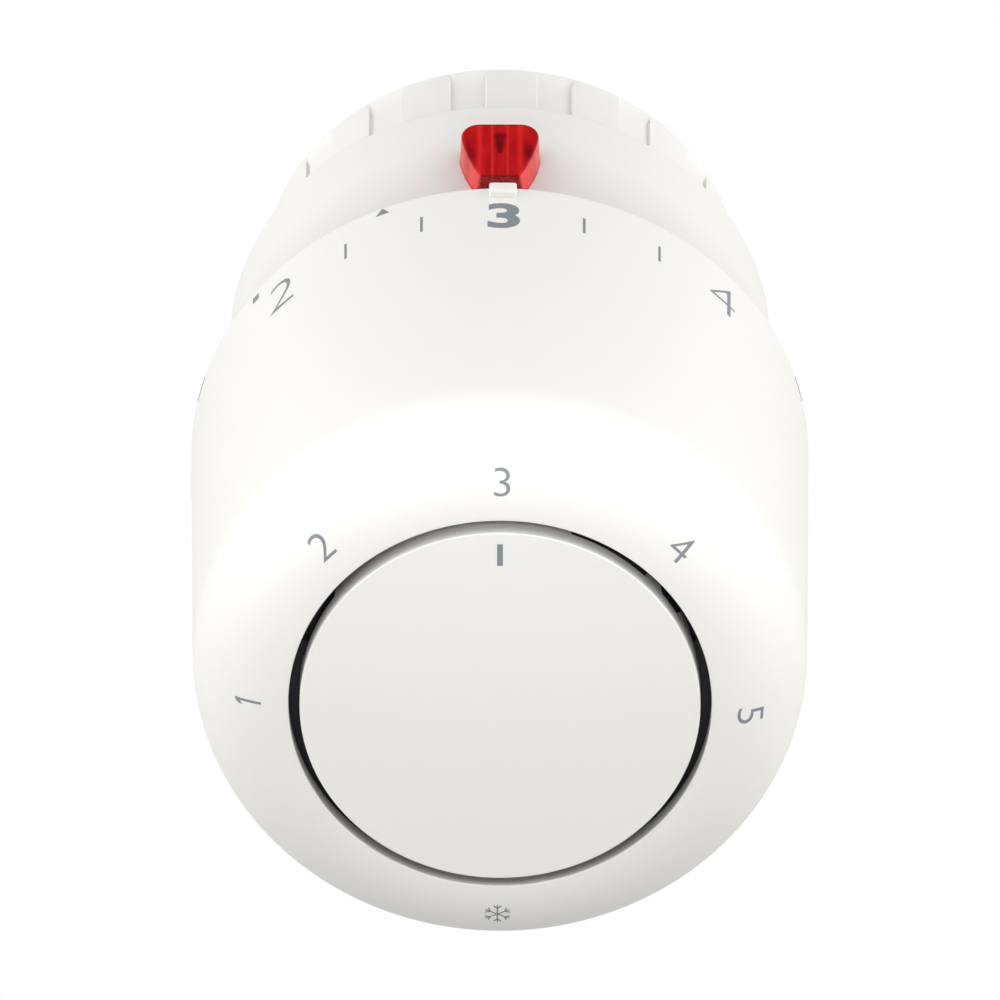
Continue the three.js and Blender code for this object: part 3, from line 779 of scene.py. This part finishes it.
def sleeve_print():
    """The scale round the rear rim of the sleeve, with the two marks of the limiter pins."""
    numeral_y = SLEEVE_REAR - 4.8
    tick_y = SLEEVE_REAR - 4.82
    clocks = SCALE["clocks"]
    marks = [(numeral_one(4.5), on_side(clocks["1"], numeral_y))]
    marks.append((glyph("3", 4.3, 0.03, 1.22), on_side(clocks["3"], numeral_y)))
    for text in "245":
        marks.append((glyph(text, 4.4, -0.02, 1.12), on_side(clocks[text], numeral_y)))
    marks += [(flake, on_side(SCALE["frost"], numeral_y)) for flake in snowflake(3.6)]
    for place in (-2, -1, 1, 2):
        marks.append((bar(0.25, 2.55), on_side(SCALE["turn"] + SCALE["step"] * place, tick_y)))
    triangle = slab([(-0.66, -0.4), (0.66, -0.4), (0, 0.62)])
    marks.append((triangle, on_side(LIMITER_MARKS["triangle"], SLEEVE_REAR - 0.75)))
    marks.append((bar(0.85, 0.9), on_side(LIMITER_MARKS["bar"], SLEEVE_REAR - 1.3)))
    # Two thin dark bars on the rim's edge at both sides, drawn with the ink.
    for clock in RIM_BARS:
        marks.append((bar(2.5, 0.3), on_side(clock, SLEEVE_REAR - 0.32)))
    printed("sleeve_scale_print", "dial", marks)


def front_print():
    """The scale round the mouth of the sleeve."""
    radius = 22.25
    clocks = SCALE["clocks"]
    marks = [(numeral_one(2.3), on_nose(clocks["1"] + 0.3, radius + 0.12))]
    for text in "2345":
        marks.append((glyph(text, 2.3, -0.01, 1.25), on_nose(clocks[text] - 0.2, radius + 0.05)))
    marks += [(flake, on_nose(SCALE["frost"], radius - 0.08)) for flake in snowflake(2.45)]
    printed("front_scale_print", "dial", marks)


def disc_print():
    index = bar(0.52, 2.22)
    printed("disc_index_print", "base", [(index, on_disc(0, 15.55))])


# ---- Front disc ----
SKIRT_NOTCHES = (  # clock angles from and to, and how deep the skirt still is there
    (-79, -55, 1.8), (20, 47.2, 1.55), (53.5, 64, 1.6), (64, 72, 3.4),
)


def skirt_depth(angle):
    """How far the disc's skirt reaches behind the opening plane at a clock angle."""
    clock = (angle + 180) % 360 - 180
    for start, end, depth in SKIRT_NOTCHES:
        if start < clock < end:
            return depth
    return 2.8


def front_disc():
    wall, edge_radius = 1.2, 0.13
    rim = DISC_RADIUS - 0.2

    def outline(angle):
        skirt = SLEEVE_FRONT + skirt_depth(angle)
        inside = DISC_FACE + 1.4
        side = [
            (rim, DISC_FACE + edge_radius), (rim, skirt - 0.12), (rim - 0.12, skirt),
            (rim - wall + 0.12, skirt), (rim - wall, skirt - 0.12),
            (rim - wall, inside),
        ]
        arc = [
            (rim - edge_radius * (1 - math.sin(t)), DISC_FACE + edge_radius * (1 - math.cos(t)))
            for t in (math.pi / 2 * i / 6 for i in range(6))
        ]
        face = [(0, DISC_FACE), (6, DISC_FACE), (12, DISC_FACE)]
        return face + arc + side + [(12, inside), (0, inside)]

    disc = turned_body("front_cap", outline, even_angles(360))
    hooks = []
    for centre in (30, 150, 270):
        arm = arc_block("arm", centre - 6, centre + 6, 14.9, 16.1, DISC_FACE + 1.0, DISC_REAR)
        barb = arc_block("barb", centre - 6, centre + 6, 15.5, 17.2, CAGE_FRONT + 1.5, DISC_REAR)
        hooks += [arm, barb]
    joined(disc, hooks, "UNION")
    dressed(disc, "front_disc")


# ---- Base collar and red mark ----
MARK_CURVES = {  # control points of one flank from the front end to the rear, half-width and y
    "foot": [(1.95, -6.7), (2.9, -4.4), (3.5, -1.6), (3.56, 0.3), (3.56, 1.7), (2.9, 2.75), (1.9, 2.88)],
    "top": [(1.72, -6.4), (2.6, -4.3), (3.3, -1.3), (3.46, 0.5), (3.5, 1.75), (2.9, 2.72), (1.9, 2.86)],
}


def mark_outline(level, grow=0.0):
    """The red mark from above: widest near its rounded rear end, tapering towards the dial."""
    knots = [Vector(knot) for knot in MARK_CURVES[level]]
    steps = 18
    right = []
    for first in (0, 3):
        a, b, c, d = knots[first : first + 4]
        for i in range(steps):
            t = i / steps
            s = 1 - t
            right.append(a * s**3 + b * 3 * s * s * t + c * 3 * s * t * t + d * t**3)
    right.append(knots[-1])
    outline = right + [Vector((-p.x, p.y)) for p in reversed(right)]
    return inset(outline, -grow) if grow else outline


def inset(points, amount):
    """The outline moved inwards by amount along its own normals."""
    made = []
    for i, point in enumerate(points):
        before, after = points[i - 1], points[(i + 1) % len(points)]
        along = (after - before).normalized()
        made.append(point + Vector((-along.y, along.x)) * amount)
    return made


def stacked(name, layers):
    """A closed body from equal outlines in XY, each (points, z)."""
    return lofted(name, [[(p.x, p.y, z) for p in points] for points, z in layers])


def collar_outline():
    inner = RING_RADIUS + 0.6
    cage_outer, cage_inner = 23.2, 21.3
    floor_rear, floor_front = RING_FRONT - 0.4, 4.5
    bush_front, _, bush_radius = span("pin_guide_bush")
    neck, bore, bore_end = 14.4, 9.0, SEAT - 5
    return [
        (inner, COLLAR_END), (23.95, COLLAR_END), (COLLAR_RADIUS, SLEEVE_REAR),
        (COLLAR_RADIUS, COLLAR_FRONT), (cage_outer + FIT, COLLAR_FRONT),
        (cage_outer + FIT, CAGE_REAR + FIT), (cage_inner + 0.6, CAGE_REAR + FIT),
        (cage_inner + 0.6, floor_front), (bush_radius + FIT + 1.5, floor_front),
        (bush_radius + FIT + 1.5, bush_front - FIT),
        (bush_radius + FIT, bush_front - FIT), (bush_radius + FIT, bore_end),
        (bore, bore_end), (bore, SEAT), (neck, SEAT), (neck, SEAT - 1),
        (neck - 0.9, SEAT - 1), (neck - 0.9, SEAT - 2.4), (neck, SEAT - 2.4),
        (neck, floor_rear), (inner, floor_rear),
    ]


def base_collar():
    collar = body_of_revolution("base_shell", collar_outline(), fillet=0.35)
    walls = mark_outline("foot", 0.03)
    layers = [(walls, MARK_FOOT - FIT), (walls, COLLAR_RADIUS + 3)]
    pin_holes = [limiter_body("hole", node, FIT) for node in ("limiter_pin_low", "limiter_pin_high")]
    joined(collar, [stacked("pocket", layers)] + pin_holes, "DIFFERENCE")
    dressed(collar, "base_collar")


def red_indicator():
    foot, top = mark_outline("foot"), mark_outline("top")
    radius, steps = 0.2, 5
    layers = [(foot, MARK_FOOT), (foot, MARK_FOOT + 1.1), (inset(top, 0.01), MARK_TOP - radius)]
    for i in range(1, steps + 1):
        t = math.pi / 2 * i / steps
        edge = inset(top, 0.01 + radius * (1 - math.cos(t)))
        layers.append((edge, MARK_TOP - radius * (1 - math.sin(t))))
    mark = stacked("setting_mark", layers)
    grooves = [
        bevelled_block("groove", (0.5, 20, 1.2), (x, MARK_FRONT + 5, MARK_FOOT + 0.5), 0.2)
        for x in (-2.35, -1.2, 1.2, 2.35)
    ]
    slot = bevelled_block("slot", (0.75, 3.6, 3.6), (0, MARK_REAR - 3.1, MARK_FOOT + 0.9), 0.3)
    joined(mark, grooves + [slot], "DIFFERENCE")
    dressed(mark, "red_indicator")


# ---- Union nut and gripped ring ----
def hexagon_radius(angle, across_flats):
    """Distance from the axis to a hexagon's side, with a corner on +X."""
    turn = (angle - 90 + 30) % 60 - 30
    return across_flats / 2 / math.cos(math.radians(30 - abs(turn)))


RECESS_PITCH = 360 / RECESS["count"]
RECESS_HALF = math.degrees(math.asin(RECESS["width"] / 2 / RING_RADIUS))


def ring_angles():
    """The angles of the ring's sections, with the edges of every recess and every corner of the socket."""
    pitch, half = RECESS_PITCH, RECESS_HALF
    offsets = [-half - 0.25, -half, -half * 0.5, 0, half * 0.5, half, half + 0.25]
    between = [half + 0.25 + (pitch - 2 * half - 0.5) * i / 5 for i in range(1, 5)]
    centres = [RECESS["first"] + pitch * i for i in range(RECESS["count"])]
    angles = [(centre + offset) % 360 for centre in centres for offset in offsets + between]
    return sorted(set(round(a, 4) for a in angles) | {30 + 60 * i for i in range(6)})


def ring_radius(angle):
    """Outer radius with the flat-floored recesses."""
    off = (angle - RECESS["first"] + RECESS_PITCH / 2) % RECESS_PITCH - RECESS_PITCH / 2
    if abs(off) > RECESS_HALF + 0.01:
        return RING_RADIUS
    return (RING_RADIUS - RECESS["depth"]) / math.cos(math.radians(off))


def knurled_ring():
    socket_size = ACROSS_FLATS + 2 * FIT

    def outline(angle):
        inner = hexagon_radius(angle, socket_size)
        outer = ring_radius(angle)
        recess_end = RING_REAR - RECESS["end"]
        full = RING_RADIUS
        return [
            (inner, RING_FRONT), (outer - 0.15, RING_FRONT), (outer, RING_FRONT + 0.15),
            (outer, recess_end - 1.6), ((outer + 2 * full) / 3, recess_end - 0.5),
            (full, recess_end), (full, RING_REAR - 0.1), (full - 0.1, RING_REAR),
            (full - 0.3, RING_REAR), (inner + 0.4, RING_REAR), (inner, RING_REAR - 0.4),
        ]

    dressed(turned_body("grip_ring", outline, ring_angles()), "knurled_ring")


def thread_radius(angle, y):
    """The nut's inner radius along its thread, which runs out at both ends."""
    minor, major, pitch = NUT_THREAD["minor"], NUT_THREAD["major"], NUT_THREAD["pitch"]
    phase = (y / pitch - angle / 360) % 1
    ridge = min(1, max(0, abs(2 * phase - 1) * 1.3 - 0.15))
    ends = min(1, (NUT_THREAD["rear"] - y) / 0.8, (y - NUT_THREAD["front"]) / 0.4)
    return minor + (major - minor) * ridge * max(0, ends)


def union_nut():
    front, rear, _ = span("union_nut")
    start, end, corner = NUT_THREAD["front"], NUT_THREAD["rear"], 18.6
    rows = round((end - start) / NUT_THREAD["pitch"] * NUT_THREAD["rows"])

    def outline(angle):
        outer = min(hexagon_radius(angle, ACROSS_FLATS), corner)
        thread = []
        for i in range(rows + 1):
            y = start + (end - start) * i / rows
            thread.append((thread_radius(angle, y), y))
        return [
            (14.75, front), (14.75, front + 1), (15.6, front + 1.15),
            (15.6, start - 0.5),
            *thread,
            (15.3, rear), (outer - 0.4, rear), (outer, rear - 0.4),
            (outer, front + 0.3), (outer - 0.3, front),
        ]

    dressed(turned_body("threaded_nut", outline, even_angles(180)), "union_nut")


# ---- Cage and the pieces on it ----
def thirds(name, reach, *shape, turn=0):
    """Three blocks round the axis, each reaching that many degrees either side of its centre."""
    return [arc_block(name, 120 * i + turn - reach, 120 * i + turn + reach, *shape) for i in range(3)]


def snap_groove(radius, depth, front, rear):
    return rectangle(radius, radius - depth, rear, front)


def sensor_cage():
    inner, outer, crown_foot = 21.3, 23.2, -42.0
    crown_inner, crown_outer, crown_rear = 16.5, 19.6, CAGE_FRONT + 1.4
    friction_front, friction_rear, _ = span("friction_ring")
    snap_front, snap_rear, _ = span("dial_retaining_ring")
    outline = [
        (inner, CAGE_REAR), (outer, CAGE_REAR), (outer, COLLAR_FRONT - FIT),
        (CAGE_RADIUS, COLLAR_FRONT - FIT), (CAGE_RADIUS, COLLAR_FRONT - 1),
        (outer, COLLAR_FRONT - 1),
        *snap_groove(outer, 0.7, snap_front - 0.2, snap_rear + 0.2),
        *snap_groove(outer, 0.7, friction_front - FIT, friction_rear + FIT),
        (outer, crown_foot), (crown_outer, crown_rear), (crown_outer, CAGE_FRONT),
        (crown_inner, CAGE_FRONT), (crown_inner, crown_rear), (inner, crown_foot),
    ]
    cage = body_of_revolution("cage_moulding", outline, fillet=0.12)
    stop = arc_block("stop", 151, 209, 22.1, 24.5, FLANGE["rear"] + 0.2, COLLAR_FRONT - 0.6)
    joined(cage, [stop], "UNION")
    slots = thirds("slot", 8.1, 20.3, 24.2, -29.3, -23.2)
    windows = [
        arc_block("window", 60 * i + 10, 60 * i + 50, 15.5, 24.2, crown_rear - 0.3, -36.5, bevel=0.5)
        for i in range(6)
    ]
    relief = arc_block("relief", -75, 75, 17.45, 21, CAGE_FRONT - 0.5, crown_rear - 0.4)
    joined(cage, slots + windows + [relief], "DIFFERENCE")
    dressed(cage, "sensor_cage")


def open_ring(name, node, inner, opening):
    """A spring ring of square wire, open at the bottom."""
    front, rear, outer = span(node)
    ring = arc_block(name, opening / 2 - 180, 180 - opening / 2, inner, outer, front, rear, step=2.5)
    dressed(ring, node)


def limiter_body(name, node, grow=0.0):
    """A small pin along Y with rounded ends, or with grow the hole that it sits in."""
    low, high = (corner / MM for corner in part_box(node))
    radius, length = (high.x - low.x) / 2 + grow, high.y - low.y + 2 * grow
    outline = rectangle(0, radius, -length / 2, length / 2)
    made = body_of_revolution(name, outline, 32, 0.25)
    made.data.transform(Matrix.Translation((low + high) / 2 * MM))
    return made


def friction_ring():
    front, rear, outer = span("friction_ring")
    radius = (rear - front) / 2
    section = [
        (outer - radius + radius * math.cos(t), (front + rear) / 2 + radius * math.sin(t))
        for t in (math.radians(15 * i) for i in range(24))
    ]
    ring = body_of_revolution("friction_o_ring", section, fillet=0)
    dressed(ring, "friction_ring")


# ---- Setting carrier and sensor ----
CARRIER = {"inner": 19.3, "outer": 20.8, "lip": 17.4, "tab_rear": -26.6}


def setting_carrier():
    """A sleeve with three tabs that reach through the cage into the setting thread."""
    front, rear, tab_radius = span("setting_carrier")
    inner, outer, lip, tab_rear = CARRIER.values()
    outline = [
        (lip, rear), (outer, rear), (outer, front), (inner, front), (inner, rear - 1.3),
        (lip, rear - 1.3),
    ]
    carrier = body_of_revolution("carrier_sleeve", outline, fillet=0.2)
    joined(carrier, thirds("tab", 5.8, inner + 0.5, tab_radius, tab_rear - 0.8, tab_rear), "UNION")
    plate_front, plate_rear, _ = span("spring_retainer")
    windows = thirds("window", 7.6, inner - 1.3, outer + 1, plate_front - FIT, plate_rear + FIT, turn=60)
    joined(carrier, windows, "DIFFERENCE")
    dressed(carrier, "setting_carrier")


def spring_retainer():
    """A ring with three lugs that catch in the carrier's windows."""
    front, rear, _ = span("spring_retainer")
    hole, edge, lug = 17, CARRIER["inner"] - FIT, CARRIER["outer"] - FIT
    outline = rectangle(hole, edge, front, rear)
    plate = body_of_revolution("retainer_plate", outline, fillet=0.1)
    joined(plate, thirds("lug", 7, edge - 1, lug, front, rear, turn=60), "UNION")
    dressed(plate, "spring_retainer")


def coil_spring(name, node, wire, turns):
    """A compression spring with closed end coils that stretches between two bodies."""
    front, rear, outer = span(node)
    steps, sides = 36, 14
    dead = 2.05 * wire
    pitch = (rear - front - 2 * wire - 2 * dead) / (turns - 2)
    rings = []
    y = rear - wire
    for i in range(round(turns * steps) + 1):
        if i:
            y -= (pitch if 1 < i / steps <= turns - 1 else dead) / steps
        ring = []
        for k in range(sides):
            b = 2 * math.pi * k / sides
            radius = outer - wire + wire * math.cos(b)
            ring.append(polar(radius, 360 * i / steps, y + wire * math.sin(b)))
        rings.append(ring)
    stretched(lofted(name, rings), node)


def stretched(made, node):
    """A piece that joins neither body: it takes its finish and its place is baked into its mesh."""
    finish_piece(made, node, None)
    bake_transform(made)


def bellows():
    front, rear, crest = span("bellows")
    root, sheet, folds, points = 9.8, 0.4, 6, 14
    outside = []
    for i in range(folds * points + 1):
        height = 0.5 - 0.5 * math.cos(2 * math.pi * i / points)
        outside.append((root + (crest - root) * height, front + (rear - front) * i / (folds * points)))
    inside = [(radius - sheet, y) for radius, y in reversed(outside)]
    made = body_of_revolution("bellows_sheet", outside + inside, SMALL_SEGMENTS, fillet=0)
    stretched(made, "bellows")


def can_outline():
    front, rear, flange = span("sensor_capsule")
    radius, wall, hole = 16.2, 0.6, 1.3
    return [
        (hole, front), (radius - 1, front), (radius, front + 1), (radius, rear - 1.2),
        (flange, rear - 1.2), (flange, rear), (radius - wall, rear),
        (radius - wall, front + 1.2), (radius - 1.2, front + wall),
        (hole, front + wall),
    ]


def charge_tube():
    """The filling tube of the can, with its end pinched flat."""
    front, rear, radius = span("charge_tube")
    pinch = front + 1
    outline = [(0, front), (radius / 2, front), (radius / 2, front + 0.5)]
    outline += [(radius, pinch), (radius, rear), (0, rear)]
    tube = body_of_revolution("filling_tube", outline, 32, 0.1)
    for v in tube.data.vertices:
        share = min(1, max(0, (pinch * MM - v.co.y) / (0.5 * MM)))
        v.co.x *= 1 - 0.6 * share
        v.co.z *= 1 + 0.8 * share
    dressed(tube, "charge_tube")


def end_plate_outline(pin):
    front, rear, radius = span("capsule_end_plate")
    bore, collar = pin + 0.6, pin + 2.5
    return [
        (bore, front), (radius, front), (radius, rear - 2), (collar, rear - 2),
        (collar, rear), (bore, rear),
    ]


def bellows_plate_outline(pin):
    front, rear, radius = span("bellows_plate")
    return [
        (0, front), (radius, front), (radius, rear - 1.5), (pin + 2, rear - 1.5),
        (pin + 2, rear), (pin + FIT, rear), (pin + FIT, rear - 1.5), (0, rear - 1.5),
    ]


def pin_outline():
    front, rear, pin = span("push_pin")
    return [(0, front), (pin - 0.5, front), (pin, front + 0.5), (pin, rear), (0, rear)]


def cap_outline(pin, pin_rear):
    """The cap on the pin's end, with a shallow dimple where it meets the spindle."""
    front, rear, radius = span("thrust_cap")
    return [
        (0, pin_rear + FIT), (pin + FIT, pin_rear + FIT), (pin + FIT, front),
        (radius, front), (radius, rear - 0.5), (radius - 0.5, rear), (1.6, rear),
        (1.2, rear - 0.3), (0, rear - 0.3),
    ]


def bush_outline():
    front, rear, radius = span("pin_guide_bush")
    return rectangle(radius - 0.75, radius, front, rear)


def turned_pieces():
    """The plain turned pieces of the sensor and the neck: name, CAD node, fillet and outline."""
    _, pin_rear, pin = span("push_pin")
    pieces = (
        ("sensor_can", "sensor_capsule", 0.5, can_outline()),
        ("can_end_plate", "capsule_end_plate", 0.2, end_plate_outline(pin)),
        ("bellows_disc", "bellows_plate", 0.2, bellows_plate_outline(pin)),
        ("pressure_pin_rod", "push_pin", 0.15, pin_outline()),
        ("pin_end_cap", "thrust_cap", 0.25, cap_outline(pin, pin_rear)),
        ("guide_bush", "pin_guide_bush", 0.15, bush_outline()),
    )
    for name, node, fillet, outline in pieces:
        dressed(body_of_revolution(name, outline, SMALL_SEGMENTS, fillet), node)


def inner_pieces():
    sensor_cage()
    open_ring("snap_ring", "dial_retaining_ring", 22.8, 30)
    open_ring("nut_snap_ring", "nut_retaining_ring", 13.8, 24)
    friction_ring()
    for name, node in (("limiter_stud_low", "limiter_pin_low"), ("limiter_stud_high", "limiter_pin_high")):
        dressed(limiter_body(name, node), node)
    setting_carrier()
    spring_retainer()
    turned_pieces()
    charge_tube()
    bellows()
    coil_spring("overtravel_coil", "overtravel_spring", 0.8, 4.5)
    coil_spring("return_coil", "return_spring", 0.55, 6)


# ---- Studio ----
FLOOR_Z = -0.16
CAMERA_TILT = 30.6
CAMERA_WIDTH = 0.0888
AIM = Vector((0, -0.0180, 0))
FLOOR_GLOW = 0.602
TENT_SIDES = 3.067
SOFTBOXES = {  # place and size in metres, power in watts
    "near_disc": ((0, -0.13, 0.07), (0.1, 0.02), 0.0261),
    "near_wide": ((0, -0.15, 0.1), (0.25, 0.03), 0.0434),
    "rear_high": ((0, 0.3, 0.45), (0.4, 0.2), 0.0636),
    "top": ((0, 0, 0.5), (0.3, 0.3), 0.3014),
    "top_left": ((-0.35, -0.05, 0.3), (0.2, 0.2), 0.053),
    "top_right": ((0.35, -0.05, 0.3), (0.2, 0.2), 0.053),
}


def camera_only(tree, seen, lit):
    """seen for rays from the camera, lit for the light that the surface sends to the object."""
    ray = add_node(tree, "ShaderNodeLightPath").outputs["Is Camera Ray"]
    return remap(tree, ray, 0, 1, lit, seen)


def build_floor():
    """A plain floor that glows instead of catching light, so that it stays even."""
    mesh = bpy.data.meshes.new("studio_floor")
    size = 6
    corners = [(x, y, 0) for x, y in rectangle(-size, size, -size, size)]
    mesh.from_pydata(corners, [], [(0, 1, 2, 3)])
    floor = link("studio_floor", mesh)
    floor.location.z = FLOOR_Z
    material, tree = new_material("pale_floor")
    glow = add_node(tree, "ShaderNodeEmission", {"Strength": camera_only(tree, 1, FLOOR_GLOW)})
    to_output(tree, glow)
    mesh.materials.append(material)


def area_light(name, place, size, power):
    """A soft panel at place, in metres, facing the head."""
    data = bpy.data.lights.new(name, "AREA")
    data.shape = "RECTANGLE"
    data.size, data.size_y = size
    data.energy = power
    lamp = link(name, data)
    lamp.location = place
    lamp.rotation_mode = "QUATERNION"
    lamp.rotation_quaternion = (AIM - Vector(place)).to_track_quat("-Z", "Y")
    lamp.visible_camera = False


def build_lights():
    for name, (place, size, power) in SOFTBOXES.items():
        area_light(name, place, size, power)
    build_light_tent()


def build_light_tent():
    """A white tent whose glow grows towards both sides. The camera sees plain white behind the head."""
    world = bpy.data.worlds.new("light_tent")
    world.use_nodes = True
    tree = world.node_tree
    direction = add_node(tree, "ShaderNodeTexCoord").outputs["Generated"]
    sideways = axes(tree, direction)["X"]
    glow = product(tree, product(tree, sideways, sideways), TENT_SIDES)
    background = tree.nodes["Background"]
    tree.links.new(camera_only(tree, 1, glow), background.inputs["Strength"])
    background.inputs["Color"].default_value = (1, 1, 1, 1)
    bpy.context.scene.world = world


def build_camera():
    data = bpy.data.cameras.new("camera")
    data.type = "ORTHO"
    data.ortho_scale = CAMERA_WIDTH
    camera = link("camera", data)
    tilt = math.radians(CAMERA_TILT)
    back = Vector((0, -math.cos(tilt), math.sin(tilt)))
    camera.location = AIM + back * 0.6
    camera.rotation_mode = "QUATERNION"
    camera.rotation_quaternion = (-back).to_track_quat("-Z", "Y")
    data.clip_start, data.clip_end = 0.01, 20
    bpy.context.scene.camera = camera
    bpy.context.scene.view_settings.view_transform = "Standard"


def build_object():
    build_materials()
    dial_sleeve()
    sleeve_print()
    front_print()
    front_disc()
    disc_print()
    base_collar()
    red_indicator()
    knurled_ring()
    union_nut()
    inner_pieces()


build_object()
build_floor()
build_lights()
build_camera()
